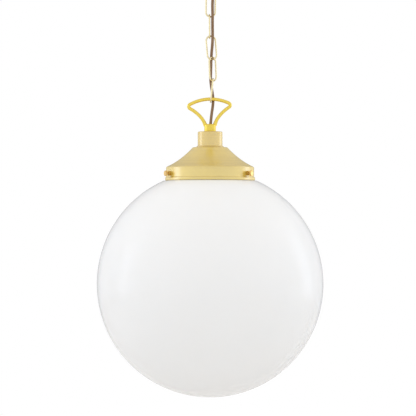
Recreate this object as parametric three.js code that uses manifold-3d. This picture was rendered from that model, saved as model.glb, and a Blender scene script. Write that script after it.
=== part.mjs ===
// Pendant ceiling light: an opal glass globe in a spun brass gallery, hung from a
// ceiling canopy by a short chain of oval links with a braided flex woven through it.
// Millimetres, +Z up. The origin is on the light's axis at the ceiling, on the top
// face of the mounting plate, and everything else is below it.

import * as THREE from "three";
import { mergeVertices } from "three/addons/utils/BufferGeometryUtils.js";
import Module from "manifold-3d";

const wasm = await Module();
wasm.setup();

// ---------------------------------------------------------------- dimensions

const gap = 0.3; // clearance between neighbouring pieces
const sheetWall = 1.2; // spun brass

const globeRadius = 200;
const glassWall = 3.5;
const neckRadius = 70;
const lipRadius = 73.2;

const bandRadius = 77.8; // gallery, heights above the globe's centre
const rimZ = 183;
const bandTopZ = 205.5;
const shoulderZ = 241.2;
const beadHeight = 6.2;
const beadRadius = 79.5;
const beadTurn = 3; // its radius above the straight skirt

const collarRadius = 21.9;
const collarTopZ = 269;

const bossTopZ = 282.2; // suspension loop
const loopWire = 3; // its wire's radius
const loopHalfWidth = 39.6;
const loopTopZ = 329.5;
const loopLean = THREE.MathUtils.degToRad(2);

const nippleRadius = 5; // M10 x 1 threaded tube
const nippleBore = 3.9;
const nippleHoleRadius = nippleRadius + gap;

const screwRadius = 2; // thumb screw shank
const screwZ = 194.6;
const screwReach = 10.3; // from the band to the end of the knob
const knobLength = 3.6;
const screwAzimuths = [-64, 56, 176]; // degrees, from the front towards +X
const knobRadius = 4.95;
const knobNeckRadius = 2.6;
const bossRadius = 4.1; // threaded boss brazed on the band
const bossReach = 4;

const flexRadius = 2.5;

const linkWire = 1.4;
const linkWidth = 19;
const linkPitch = 37.7;
const linkGap = 0.8; // between one link's wire and the next one's

const plateSize = new THREE.Vector3(100, 24, 2.5);
const canopyRadius = 62;
const canopyDepth = 30;
const ringLoopZ = -60.7; // wire centre of the screw collar's loop
const ringLoopWire = 2.5;

// Links from the ceiling down. Each is turned about the axis by its yaw, 0 facing the
// front, and the flex pushes its ends aside to topX and bottomX.
const chain = [
  { yaw: 90, topX: 0, bottomX: 0.4 },
  { yaw: 0, topX: 1.3, bottomX: 0.8 },
  { yaw: 90, topX: -1.1, bottomX: -0.7 },
  { yaw: 0, topX: 0.7, bottomX: 3.9 },
  { yaw: 45, topX: 3.8, bottomX: 5.3 },
  { yaw: 90, topX: 5.1, bottomX: 1.1 },
];

// Heights that follow from the stack.
const linkInner = (linkPitch + linkGap) / 2; // link centre to the inside of its end
const firstLinkZ = ringLoopZ + ringLoopWire + linkGap - linkInner;
const lastLinkZ = firstLinkZ - linkPitch * (chain.length - 1);
const loopWireZ = lastLinkZ - linkInner + linkGap + loopWire;
const globeZ = loopWireZ + loopWire - loopTopZ; // the globe's centre

// Middle of the flex, from the ceiling end to the lampholder.
const flexRoute = [
  [0, 0, -13],
  [0, 0, -25],
  [0.1, 0.1, -37],
  [1.2, 1.5, -45],
  [3.5, 4.6, -54],
  [5.0, 6.0, -63],
  [5.6, 5.8, -78],
  [5.6, 5.0, -94],
  [4.4, 1.2, -107],
  [4.2, -3.0, -118],
  [4.4, -5.0, -131],
  [4.3, -5.1, -152],
  [4.5, -4.8, -171],
  [3.9, -1.6, -185],
  [2.8, 2.8, -197],
  [2.0, 5.2, -209],
  [1.7, 4.9, -220],
  [1.3, 3.7, -234],
  [1.0, 3.1, -247],
  [2.0, 2.9, -257],
  [3.7, 3.6, -267],
  [5.0, 5.2, -276],
  [5.4, 6.1, -283],
  [4.7, 5.1, -293],
  [3.0, 2.8, -305],
  [1.6, 1.0, -317],
  [0.6, 0.2, -328],
  [0, 0, -340],
  [0, 0, -360],
  [0, 0, -380],
];

// ---------------------------------------------------------------- materials

const brass = (color, roughness) => new THREE.MeshStandardMaterial({ color, roughness, metalness: 1 });
const plain = (color, roughness) => new THREE.MeshStandardMaterial({ color, roughness, metalness: 0 });

const satinBrass = brass(0xe3cb84, 0.38);
const castBrass = brass(0xdcbd4a, 0.3);
const chainBrass = brass(0xe4d5a0, 0.3);
const polishedBrass = brass(0xc79a45, 0.18);
const zincSteel = brass(0xb9bcc0, 0.45);
const opalGlass = plain(0xf4f5f3, 0.08);
const lampGlass = plain(0xf2f1ec, 0.3);
const braid = plain(0x7a5637, 0.85);
const blackPlastic = plain(0x1f1e1d, 0.5);
const whitePlastic = plain(0xe9e6dc, 0.5);
const ceramic = plain(0xe8e4da, 0.3);
const coreColours = { brown: plain(0x5c3a22, 0.5), blue: plain(0x2f5d9a, 0.5), earth: plain(0x6d9a34, 0.5) };

// ---------------------------------------------------------------- shape helpers

const light = new THREE.Group();

function add(parent, name, geometry, material) {
  const mesh = new THREE.Mesh(geometry, material);
  mesh.name = name;
  parent.add(mesh);
  return mesh;
}

// Points [radius, z] of an outline that runs up the outside and down the inside.
function turned(outline, segments) {
  const points = outline.map(([radius, z]) => new THREE.Vector2(radius, z));
  return new THREE.LatheGeometry(points, segments).rotateX(Math.PI / 2);
}

function turnedRing(outline, segments) {
  return turned([...outline, outline[0]], segments);
}

function arcPoints(centreX, centreZ, radius, fromDegrees, toDegrees, steps) {
  const points = [];
  for (let i = 0; i <= steps; i += 1) {
    const angle = THREE.MathUtils.degToRad(fromDegrees + ((toDegrees - fromDegrees) * i) / steps);
    points.push([centreX + radius * Math.cos(angle), centreZ + radius * Math.sin(angle)]);
  }
  return points;
}

function curvePoints(start, control, end, steps) {
  const curve = new THREE.QuadraticBezierCurve(
    new THREE.Vector2(...start),
    new THREE.Vector2(...control),
    new THREE.Vector2(...end),
  );
  return curve.getPoints(steps).map((point) => [point.x, point.y]);
}

// The other face of a sheet whose outer face is the outline, on its left-hand side.
function offsetOutline(outline, distance) {
  const normals = [];
  for (let i = 1; i < outline.length; i += 1) {
    const dx = outline[i][0] - outline[i - 1][0];
    const dz = outline[i][1] - outline[i - 1][1];
    const length = Math.hypot(dx, dz);
    normals.push([-dz / length, dx / length]);
  }
  return outline.map(([x, z], i) => {
    const before = normals[Math.max(i - 1, 0)];
    const after = normals[Math.min(i, normals.length - 1)];
    const share = distance / (1 + before[0] * after[0] + before[1] * after[1]);
    return [x + (before[0] + after[0]) * share, z + (before[1] + after[1]) * share];
  });
}

function spunShell(outline, segments) {
  const inside = offsetOutline(outline, sheetWall).reverse();
  return turnedRing([...outline, ...inside], segments);
}

function circleShape(radius, sides) {
  const points = [];
  for (let i = 0; i < sides; i += 1) {
    const angle = (2 * Math.PI * i) / sides;
    points.push(new THREE.Vector2(radius * Math.cos(angle), radius * Math.sin(angle)));
  }
  return new THREE.Shape(points);
}

function tube(points, radius, steps, sides) {
  const path = new THREE.CatmullRomCurve3(points, false, "centripetal");
  return new THREE.ExtrudeGeometry(circleShape(radius, sides), { steps, extrudePath: path });
}

function box(sizeX, sizeY, sizeZ, x, y, z) {
  return new THREE.BoxGeometry(sizeX, sizeY, sizeZ).translate(x, y, z);
}

// A closed cylinder along Z between two heights.
function rod(radius, lowZ, highZ, sides) {
  const cylinder = new THREE.CylinderGeometry(radius, radius, highZ - lowZ, sides);
  return cylinder.rotateX(Math.PI / 2).translate(0, 0, (lowZ + highZ) / 2);
}

function toSolid(geometry) {
  const bare = geometry.clone();
  bare.deleteAttribute("normal");
  bare.deleteAttribute("uv");
  const merged = mergeVertices(bare, 1e-4);
  const vertProperties = new Float32Array(merged.attributes.position.array);
  const triVerts = new Uint32Array(merged.index.array);
  return new wasm.Manifold(new wasm.Mesh({ numProp: 3, vertProperties, triVerts }));
}

function toGeometry(solid) {
  const mesh = solid.getMesh();
  const geometry = new THREE.BufferGeometry();
  geometry.setAttribute("position", new THREE.BufferAttribute(mesh.vertProperties, 3));
  geometry.setIndex(new THREE.BufferAttribute(mesh.triVerts, 1));
  return geometry;
}

function joined(geometries) {
  return toGeometry(geometries.map(toSolid).reduce((whole, piece) => whole.add(piece)));
}

function cut(geometry, holes) {
  return toGeometry(holes.map(toSolid).reduce((rest, hole) => rest.subtract(hole), toSolid(geometry)));
}

// ---------------------------------------------------------------- at the ceiling

const yokeWidth = 34;
const yokeDepth = 20; // from the ceiling to the yoke's underside
const yokeWall = 2.5;
const earSize = 28; // the terminal block stands on the ear
const slotX = 38; // fixing slots
const slotLength = 9; // between the middles of a slot's round ends
const slotWidth = 5.5;
const earthX = -24;
const earthHoleRadius = 2.1;
const blockHoleRadius = 1.6;
const blockHoleY = 33;
const drillLength = 6; // of the cutters that go through the plate

function fixingSlot(x) {
  const ends = [-slotLength / 2, slotLength / 2].map((side) =>
    rod(slotWidth / 2, -drillLength / 2, drillLength / 2, 16).translate(x + side, 0, -plateSize.z / 2),
  );
  return [box(slotLength, slotWidth, drillLength, x, 0, -plateSize.z / 2), ...ends];
}

function mountingPlate() {
  const { x: length, y: width, z: thickness } = plateSize;
  const plate = box(length, width, thickness, 0, 0, -thickness / 2);
  const ear = box(earSize, earSize, thickness, 0, 24, -thickness / 2);
  const yokeOuter = box(yokeWidth, 22, yokeDepth - 1, 0, 0, -yokeDepth / 2 - 0.5);
  const yokeInner = box(yokeWidth - 2 * yokeWall, 23, yokeDepth - 2 * yokeWall, 0, 0, -yokeDepth / 2);
  const yoke = cut(yokeOuter, [yokeInner]);
  const slots = [-slotX, slotX].flatMap(fixingSlot);
  const drill = (radius, x, y, sides) => rod(radius, -drillLength / 2, drillLength / 2, sides).translate(x, y, 0);
  const nippleHole = drill(nippleHoleRadius, 0, 0, 24).translate(0, 0, -yokeDepth + yokeWall);
  const earthHole = drill(earthHoleRadius, earthX, 0, 16);
  const blockHole = drill(blockHoleRadius, 0, blockHoleY, 12);
  return cut(joined([plate, ear, yoke]), [...slots, nippleHole, earthHole, blockHole]);
}

function hexNut(acrossFlats, lowZ, highZ) {
  const nut = rod(acrossFlats / Math.sqrt(3), lowZ, highZ, 6);
  return cut(nut, [rod(nippleHoleRadius, lowZ - 1, highZ + 1, 24)]);
}

function nipple(lowZ, highZ) {
  return turnedRing(
    [
      [nippleRadius, lowZ],
      [nippleRadius, highZ],
      [nippleBore, highZ],
      [nippleBore, lowZ],
    ],
    24,
  );
}

// Threaded collar with a wire loop under it: the chain's first link hangs in the loop.
function screwCollar() {
  const collarLow = -40;
  const collarHigh = -26;
  const collar = turnedRing(
    [
      [3.6, collarLow],
      [10, collarLow],
      [11, collarLow + 1],
      [11, collarHigh],
      [nippleHoleRadius, collarHigh],
      [nippleHoleRadius, collarLow + 2.5],
      [3.6, collarLow + 2.5],
    ],
    24,
  );
  const halfWidth = 8.2;
  const bendZ = ringLoopZ + halfWidth;
  const route = [
    [halfWidth, collarLow + 1.5],
    [halfWidth, (collarLow + bendZ) / 2],
    ...arcPoints(0, bendZ, halfWidth, 0, -180, 10),
    [-halfWidth, (collarLow + bendZ) / 2],
    [-halfWidth, collarLow + 1.5],
  ];
  const points = route.map(([x, z]) => new THREE.Vector3(x, 0, z));
  return joined([collar, tube(points, ringLoopWire, 22, 8)]);
}

function canopy() {
  const band = canopyRadius - 1.5;
  const hole = 13.5;
  const outline = [
    [hole, -canopyDepth],
    [24, -canopyDepth],
    ...curvePoints([25.5, -canopyDepth + 0.4], [44, -17], [59.5, -11], 4),
    [band, -9.8],
    [band, -4.6],
    ...arcPoints(band - 0.6, -2.4, 2.1, -60, 60, 3),
    [band, -0.2],
  ];
  return spunShell(outline, 32);
}

function ringNut() {
  const topZ = -canopyDepth - gap;
  return turnedRing(
    [
      [11.4, topZ - 6],
      [16, topZ - 6],
      [17, topZ - 5],
      [17, topZ - 1],
      [16, topZ],
      [11.4, topZ],
    ],
    24,
  );
}

function earthScrew() {
  const headTop = -plateSize.z - gap;
  return turned(
    [
      [0, headTop - 2.6],
      [3, headTop - 2.6],
      [4, headTop - 1.6],
      [4, headTop],
      [1.7, headTop],
      [1.7, -gap],
      [0, -gap],
    ],
    16,
  );
}

const blockY = 27;
const blockHeight = 13;
const blockWays = [-8.5, 0, 8.5];
const wayZ = -9.5;

function terminalBlock() {
  const block = box(27, 16, blockHeight, 0, blockY, -plateSize.z - gap - blockHeight / 2);
  const wireHoles = blockWays.map((x) => rod(1.9, -10, 10, 12).rotateX(Math.PI / 2).translate(x, blockY, wayZ));
  return cut(block, wireHoles);
}

// One insulated core, from the flex's cut end to its way in the terminal block.
function core(index) {
  const angle = THREE.MathUtils.degToRad(90 + 120 * index);
  const x = 1.25 * Math.cos(angle);
  const y = 1.25 * Math.sin(angle);
  const way = [blockWays[1], blockWays[0], blockWays[2]][index];
  const route = [
    [x, y, -12.7],
    [x, y + 0.4, -10],
    [(x + way) / 2, 6.5 + y, -6.2],
    [way, 13, -8],
    [way, 17.5, wayZ],
    [way, blockY - 3, wayZ],
  ];
  return tube(route.map((point) => new THREE.Vector3(...point)), 0.9, 14, 8);
}

function addCeilingParts() {
  add(light, "mounting_plate", mountingPlate(), zincSteel);
  add(light, "canopy_nipple", nipple(-37, -14), satinBrass);
  add(light, "nipple_nut_upper", hexNut(15, -yokeDepth + yokeWall + gap, -yokeDepth + 6), zincSteel);
  add(light, "nipple_nut_lower", hexNut(15, -yokeDepth - 3.5, -yokeDepth - gap), zincSteel);
  add(light, "screw_collar", screwCollar(), chainBrass);
  add(light, "canopy", canopy(), satinBrass);
  add(light, "canopy_ring_nut", ringNut(), satinBrass);
  add(light, "earth_screw", earthScrew(), chainBrass).position.x = earthX;
  add(light, "terminal_block", terminalBlock(), whitePlastic);
  Object.keys(coreColours).forEach((colour, index) => {
    add(light, `core_${colour}`, core(index), coreColours[colour]);
  });
}

// ---------------------------------------------------------------- chain and flex

// An oval of wire facing the front, cut open by a butt joint half way up one side.
function chainLink() {
  const endRadius = linkWidth / 2 - linkWire;
  const straight = linkInner + linkWire - endRadius;
  const outline = [
    [endRadius, gap / 2],
    [endRadius, straight * 0.6],
    ...arcPoints(0, straight, endRadius, 0, 180, 8),
    [-endRadius, 0],
    ...arcPoints(0, -straight, endRadius, 180, 360, 8),
    [endRadius, -straight * 0.6],
    [endRadius, -gap / 2],
  ];
  return tube(outline.map(([x, z]) => new THREE.Vector3(x, 0, z)), linkWire, 24, 6);
}

function addChain() {
  chain.forEach(({ yaw, topX, bottomX }, index) => {
    const holder = new THREE.Group();
    holder.position.set((topX + bottomX) / 2, 0, firstLinkZ - index * linkPitch);
    holder.rotation.y = Math.atan2(topX - bottomX, linkPitch);
    light.add(holder);
    const link = add(holder, `chain_link_${index + 1}`, chainLink(), chainBrass);
    link.rotation.z = THREE.MathUtils.degToRad(yaw);
  });
}

function flex() {
  return tube(flexRoute.map((point) => new THREE.Vector3(...point)), flexRadius, 72, 8);
}

// ---------------------------------------------------------------- hanging fitting

const fitting = new THREE.Group(); // its origin is the globe's centre
fitting.position.z = globeZ;

function suspensionLoop() {
  const boss = turned(
    [
      [0, collarTopZ + gap],
      [10.3, collarTopZ + gap],
      [10.2, 276],
      [10.5, 280.6],
      [9, bossTopZ],
      [0, bossTopZ],
    ],
    20,
  );
  const archRadius = 76;
  const archZ = loopTopZ - loopWire - archRadius;
  const cornerRadius = 4.2;
  const cornerX = loopHalfWidth - loopWire - cornerRadius;
  const cornerRise = Math.sqrt((archRadius - cornerRadius) ** 2 - cornerX ** 2);
  const cornerZ = archZ + cornerRise;
  const archStart = THREE.MathUtils.radToDeg(Math.atan2(cornerRise, cornerX));
  const armHeading = 32; // degrees above level where the arm meets the corner
  const corner = arcPoints(cornerX, cornerZ, cornerRadius, armHeading - 90, archStart, 6);
  const armEnd = corner[0];
  const armReach = 26;
  const heading = THREE.MathUtils.degToRad(armHeading);
  const armControl = [armEnd[0] - armReach * Math.cos(heading), armEnd[1] - armReach * Math.sin(heading)];
  const arm = curvePoints([8.2, bossTopZ - 2.5], armControl, armEnd, 8);
  const halfArch = arcPoints(0, archZ, archRadius, archStart, 90, 6);
  const half = [...arm, ...corner.slice(1), ...halfArch.slice(1)];
  const otherHalf = half.slice(0, -1).reverse().map(([x, z]) => [-x, z]);
  const points = [...half, ...otherHalf].map(([x, z]) => new THREE.Vector3(x, 0, z - bossTopZ));
  const arms = tube(points, loopWire, 50, 8).rotateY(-loopLean).translate(0, 0, bossTopZ);
  const nippleHole = rod(nippleHoleRadius, collarTopZ - 5, bossTopZ - 3.5, 24);
  const flexHole = rod(4.3, collarTopZ, bossTopZ + 5, 24);
  return cut(joined([boss, arms]), [nippleHole, flexHole]);
}

function collar() {
  const baseZ = shoulderZ + gap;
  const outline = [
    [24.4, baseZ],
    [24.4, baseZ + 0.8],
    ...curvePoints([23.6, baseZ + 1.4], [21.9, baseZ + 2], [collarRadius, baseZ + 4], 2),
    ...arcPoints(collarRadius - 1.8, collarTopZ - 1.8, 1.8, 0, 90, 2),
    [nippleHoleRadius, collarTopZ],
  ];
  return spunShell(outline, 28);
}

function gallery() {
  const bead = arcPoints(beadRadius - beadTurn, rimZ + beadHeight / 2 + 0.2, beadTurn, 10, 62, 2);
  const cone = curvePoints([75.6, bandTopZ + 1.9], [52.3, bandTopZ + 12.5], [31, shoulderZ - 0.5], 6);
  const outline = [
    [beadRadius, rimZ],
    ...bead,
    [bandRadius, rimZ + beadHeight + 0.3],
    [bandRadius, bandTopZ - 0.4],
    [bandRadius - 0.6, bandTopZ + 0.7],
    ...cone,
    [30, shoulderZ],
    [nippleHoleRadius, shoulderZ],
  ];
  const atScrews = (radius, low, high) =>
    screwAzimuths.map((azimuth) => pointOutwards(rod(radius, low, high, 16), azimuth));
  const bosses = atScrews(bossRadius, bandRadius - 1, bandRadius + bossReach);
  const holes = atScrews(screwRadius + 0.4, bandRadius - 8, bandRadius + 8);
  return cut(joined([spunShell(outline, 36), ...bosses]), holes);
}

// Turns a piece made along +Z so that it points out from the axis at the screws' height.
function pointOutwards(geometry, azimuth) {
  const turn = THREE.MathUtils.degToRad(azimuth - 90);
  return geometry.rotateY(Math.PI / 2).rotateZ(turn).translate(0, 0, screwZ);
}

function thumbScrew(azimuth) {
  const tip = lipRadius + gap;
  const end = bandRadius + screwReach;
  const knob = end - knobLength;
  const neck = bandRadius + bossReach + 2;
  const edge = 0.5; // chamfer
  const outline = [
    [0, tip],
    [screwRadius - edge, tip],
    [screwRadius, tip + edge],
    [screwRadius, neck],
    [knobNeckRadius, neck + 0.4],
    [knobNeckRadius, knob],
    [knobRadius - edge, knob],
    [knobRadius, knob + edge],
    [knobRadius, end - edge],
    [knobRadius - edge, end],
    [0, end],
  ];
  return pointOutwards(turned(outline, 12), azimuth);
}

function globe() {
  const innerRadius = globeRadius - glassWall;
  const shoulderAngle = 65.6; // where the sphere flattens towards the neck
  const outer = arcPoints(0, 0, globeRadius, -90, shoulderAngle, 15);
  const neck = [
    [79.6, 182.5],
    [75.6, 182.9],
    [72.2, 184.2],
    [neckRadius, 188],
    [neckRadius, 198.6],
    [lipRadius - 1, 199.6],
    [lipRadius, 200.8],
    [lipRadius, 202.4],
    [lipRadius - 1.4, 203.6],
    [neckRadius - glassWall, 203.6],
    [neckRadius - glassWall, 184.5],
    [69.5, 181],
    [75, 180],
  ];
  const inner = arcPoints(0, 0, innerRadius, 66, -90, 11);
  outer[0][0] = 0;
  inner[inner.length - 1][0] = 0;
  return turned([...outer, ...neck, ...inner], 36);
}

// ---------------------------------------------------------------- lampholder and lamp

const holderRadius = 20.5;

function lampholderCap() {
  return turnedRing(
    [
      [18.5, 212],
      [holderRadius, 212],
      [holderRadius, 222],
      ...curvePoints([holderRadius - 0.3, 225], [19, 231], [10.5, 233.5], 4),
      [9, 236.3],
      [nippleHoleRadius, 236.3],
      [nippleHoleRadius, 229.5],
      [13, 229.5],
      [18.5, 222],
    ],
    24,
  );
}

function lampholderSkirt() {
  return turnedRing(
    [
      [18.7, 174],
      [21.8, 174],
      [21.8, 176.5],
      [holderRadius, 178],
      [holderRadius, 212 - gap],
      [18.7, 212 - gap],
    ],
    24,
  );
}

function lampholderInsulator() {
  return turnedRing(
    [
      [2, 200],
      [18.3, 200],
      [18.3, 209],
      [15, 211],
      [2, 211],
    ],
    20,
  );
}

function lampholderShell() {
  const low = 177;
  const high = 199.6;
  return turnedRing(
    [
      [13.7, low],
      [14.2, low],
      [14.2, high],
      [8, high],
      [8, high - 0.6],
      [13.7, high - 0.6],
    ],
    20,
  );
}

function lampholderContact() {
  return turned(
    [
      [0, 196],
      [4, 196],
      [4, 196.8],
      [1.5, 197.4],
      [1.5, 206],
      [0, 206],
    ],
    16,
  );
}

function lampCap() {
  return turnedRing(
    [
      [12.7, 170],
      [13.2, 170],
      [13.2, 190.5],
      [9.8, 194.6],
      [5.5, 194.6],
      [5.5, 194],
      [9.4, 194],
      [12.7, 190],
    ],
    20,
  );
}

function lampContact() {
  return turned(
    [
      [0, 193.4],
      [4.9, 193.4],
      [4.9, 195],
      [2.5, 195.6],
      [0, 195.6],
    ],
    16,
  );
}

function lampEnvelope() {
  const bulbZ = 110;
  const bulbRadius = 30;
  const wall = 1;
  const neckTop = 184;
  const outline = [
    ...arcPoints(0, bulbZ, bulbRadius, -90, 25, 6),
    ...curvePoints([25, 131], [13.5, 145], [12.3, 168], 3),
    [12.3, neckTop],
  ];
  outline[0][0] = 0;
  const inside = offsetOutline(outline, wall).reverse();
  inside[inside.length - 1] = [0, bulbZ - bulbRadius + wall];
  return turned([...outline, ...inside], 20);
}

function addFitting() {
  light.add(fitting);
  add(fitting, "suspension_loop", suspensionLoop(), castBrass);
  add(fitting, "fitting_nipple", nipple(231, bossTopZ - 4), satinBrass);
  add(fitting, "collar", collar(), satinBrass);
  add(fitting, "gallery", gallery(), satinBrass);
  add(fitting, "gallery_nut", hexNut(17, 236.8, shoulderZ - sheetWall - gap), zincSteel);
  screwAzimuths.forEach((azimuth, index) => {
    add(fitting, `thumb_screw_${index + 1}`, thumbScrew(azimuth), polishedBrass);
  });
  add(fitting, "glass_globe", globe(), opalGlass);
  add(fitting, "lampholder_cap", lampholderCap(), blackPlastic);
  add(fitting, "lampholder_skirt", lampholderSkirt(), blackPlastic);
  add(fitting, "lampholder_insulator", lampholderInsulator(), ceramic);
  add(fitting, "lampholder_shell", lampholderShell(), chainBrass);
  add(fitting, "lampholder_contact", lampholderContact(), chainBrass);
  add(fitting, "lamp_cap", lampCap(), zincSteel);
  add(fitting, "lamp_contact", lampContact(), zincSteel);
  add(fitting, "lamp_envelope", lampEnvelope(), lampGlass);
}

addCeilingParts();
addChain();
add(light, "flex", flex(), braid);
addFitting();

export default light;
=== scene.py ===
import math

import bpy
import numpy as np
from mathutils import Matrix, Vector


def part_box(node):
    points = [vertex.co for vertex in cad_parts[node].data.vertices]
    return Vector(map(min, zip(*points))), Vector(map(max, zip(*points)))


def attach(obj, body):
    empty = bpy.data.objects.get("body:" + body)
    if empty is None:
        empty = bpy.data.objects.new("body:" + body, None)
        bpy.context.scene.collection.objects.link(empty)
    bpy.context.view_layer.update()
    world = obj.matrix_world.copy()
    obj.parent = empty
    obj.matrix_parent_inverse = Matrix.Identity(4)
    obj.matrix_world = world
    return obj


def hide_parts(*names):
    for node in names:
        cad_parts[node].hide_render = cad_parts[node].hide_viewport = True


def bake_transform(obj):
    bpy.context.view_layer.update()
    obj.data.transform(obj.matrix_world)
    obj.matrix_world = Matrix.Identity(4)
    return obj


# Looks for a pendant ceiling light: an opal glass globe in a spun brass gallery, hung
# from a ceiling canopy by a chain of oval links with a braided flex woven through it.
# Shapes are written in millimetres, as the CAD part is, and become metres in make_piece.

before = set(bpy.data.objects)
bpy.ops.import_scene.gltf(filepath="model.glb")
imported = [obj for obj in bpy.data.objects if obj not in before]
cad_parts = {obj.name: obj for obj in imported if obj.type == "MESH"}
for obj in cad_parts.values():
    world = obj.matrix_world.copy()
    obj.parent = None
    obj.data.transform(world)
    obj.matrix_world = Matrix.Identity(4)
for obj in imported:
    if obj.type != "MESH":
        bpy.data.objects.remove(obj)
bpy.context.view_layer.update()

MM = 0.001
GAP = 0.3  # between neighbouring pieces

# ------------ sizes, in mm

GLOBE_RADIUS = 200
GLASS_WALL = 3.5
NECK_RADIUS = 70
LIP_RADIUS = 73.2
GLOBE_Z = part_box("glass_globe")[0].z / MM + GLOBE_RADIUS

SHEET_WALL = 1.2
BAND_RADIUS = 77.8
RIM_Z = 183
BEAD_HEIGHT = 6.2
BEAD_RADIUS = 79.5
BEAD_TURN = 3  # its radius above the straight skirt
BAND_TOP_Z = 205.5
SHOULDER_Z = 241.2
COLLAR_RADIUS = 21.9
COLLAR_TOP_Z = 269

BOSS_TOP_Z = 282.2
LOOP_WIRE = 3
LOOP_HALF_WIDTH = 39.6
LOOP_TOP_Z = 329.5
LOOP_LEAN = math.radians(2)

NIPPLE_RADIUS = 5
NIPPLE_BORE = 3.9
NIPPLE_HOLE = NIPPLE_RADIUS + GAP

SCREW_Z = 194.6
SCREW_AZIMUTHS = (-64, 56, 176)
SCREW_RADIUS = 2
SCREW_REACH = 10.3
KNOB_LENGTH = 3.6
KNOB_RADIUS = 4.95
KNOB_NECK_RADIUS = 2.6
BOSS_RADIUS = 4.1
BOSS_REACH = 4

LINK_WIRE = 1.4
LINK_WIDTH = 19
LINK_PITCH = 37.7
LINK_GAP = 0.8
LINK_BUTT_GAP = 0.3
LINK_BUTT_EDGE = 0.22
RING_LOOP_Z = -60.7
RING_LOOP_WIRE = 2.5
CHAIN = (  # yaw in degrees, and the x of each link's top and bottom
    (90, 0, 0.4),
    (0, 1.3, 0.8),
    (90, -1.1, -0.7),
    (0, 0.7, 3.9),
    (45, 3.8, 5.3),
    (90, 5.1, 1.1),
)
LINK_INNER = (LINK_PITCH + LINK_GAP) / 2
LINK_END_RADIUS = LINK_WIDTH / 2 - LINK_WIRE
LINK_STRAIGHT = LINK_INNER + LINK_WIRE - LINK_END_RADIUS  # half the straight side
LINK_LENGTH = 4 * LINK_STRAIGHT + 2 * math.pi * LINK_END_RADIUS  # once round the wire
FIRST_LINK_Z = RING_LOOP_Z + RING_LOOP_WIRE + LINK_GAP - LINK_INNER

CANOPY_RADIUS = 62
CANOPY_DEPTH = 30
EARTH_X = -24

FLEX_RADIUS = 2.5
FLEX_ROUTE = (
    (0, 0, -13), (0, 0, -25), (0.1, 0.1, -37),
    (1.2, 1.5, -45), (3.5, 4.6, -54), (5.0, 6.0, -63),
    (5.6, 5.8, -78), (5.6, 5.0, -94), (4.4, 1.2, -107),
    (4.2, -3.0, -118), (4.4, -5.0, -131), (4.3, -5.1, -152),
    (4.5, -4.8, -171), (3.9, -1.6, -185), (2.8, 2.8, -197),
    (2.0, 5.2, -209), (1.7, 4.9, -220), (1.3, 3.7, -234),
    (1.0, 3.1, -247), (2.0, 2.9, -257), (3.7, 3.6, -267),
    (5.0, 5.2, -276), (5.4, 6.1, -283), (4.7, 5.1, -293),
    (3.0, 2.8, -305), (1.6, 1.0, -317), (0.6, 0.2, -328),
    (0, 0, -340), (0, 0, -360), (0, 0, -380),
)

# ------------ camera

CAMERA_DISTANCE = 3.2
VIEW_WIDTH = 0.736  # across the object, at the axis
CAMERA_X = -0.0037
CAMERA_RISE = 0.1339  # above the globe's centre
SENSOR = 36


def make_camera():
    camera = bpy.data.objects.new("camera", bpy.data.cameras.new("camera"))
    camera.location = (CAMERA_X, -CAMERA_DISTANCE, GLOBE_Z * MM + CAMERA_RISE)
    camera.rotation_euler = (math.pi / 2, 0, 0)
    camera.data.sensor_width = SENSOR
    camera.data.lens = SENSOR * CAMERA_DISTANCE / VIEW_WIDTH
    camera.data.clip_end = 100
    bpy.context.scene.collection.objects.link(camera)
    bpy.context.scene.camera = camera


# ------------ outlines


def arc(centre_x, centre_z, radius, from_degrees, to_degrees, steps):
    """Points of an arc, both ends included."""
    angles = np.radians(np.linspace(from_degrees, to_degrees, steps + 1))
    return [(centre_x + radius * math.cos(a), centre_z + radius * math.sin(a)) for a in angles]


def curve(start, control, end, steps):
    """Points of a quadratic curve, both ends included."""
    start, control, end = (np.array(p, float) for p in (start, control, end))
    shares = np.linspace(0, 1, steps + 1)
    return [tuple((1 - t) ** 2 * start + 2 * t * (1 - t) * control + t * t * end) for t in shares]


def offset(outline, distance):
    """The outline moved sideways to its left, as a sheet's other face."""
    points = np.array(outline, float)
    steps = np.diff(points, axis=0)
    normals = np.stack([-steps[:, 1], steps[:, 0]], 1) / np.linalg.norm(steps, axis=1)[:, None]
    before = np.vstack([normals[:1], normals])
    after = np.vstack([normals, normals[-1:]])
    share = distance / (1 + (before * after).sum(1))
    return [tuple(p) for p in points + (before + after) * share[:, None]]


ON_AXIS = 1e-6  # mm; a smaller radius counts as none


def rounded(outline, radius, steps=4, least_turn=20):
    """The closed outline with its corners rounded; corners on the axis stay.

    So do the corners that turn by less than least_turn degrees.
    """
    points = [np.array(p, float) for p in outline]
    result = []
    for i, corner in enumerate(points):
        back = points[i - 1] - corner
        on = points[(i + 1) % len(points)] - corner
        lengths = np.linalg.norm(back), np.linalg.norm(on)
        turn = math.pi - math.acos(np.clip(back @ on / (lengths[0] * lengths[1]), -1, 1))
        if corner[0] < ON_AXIS or turn < math.radians(least_turn):
            result.append(tuple(corner))
            continue
        reach = min(radius * math.tan(turn / 2), 0.45 * lengths[0], 0.45 * lengths[1])
        start = corner + back / lengths[0] * reach
        end = corner + on / lengths[1] * reach
        result += curve(start, corner, end, steps)
    return result


def subdivided(outline, step):
    """The closed outline with points no further apart than step."""
    result = []
    for start, end in zip(outline, [*outline[1:], outline[0]]):
        pieces = max(1, math.ceil(math.dist(start, end) / step))
        for i in range(pieces):
            share = i / pieces
            result.append(tuple(np.array(start) * (1 - share) + np.array(end) * share))
    return result


def sheet_outline(outer_face, edge=0.4):
    """A closed outline of spun sheet from its outer face."""
    return rounded([*outer_face, *reversed(offset(outer_face, SHEET_WALL))], edge)


# ------------ meshes


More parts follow.
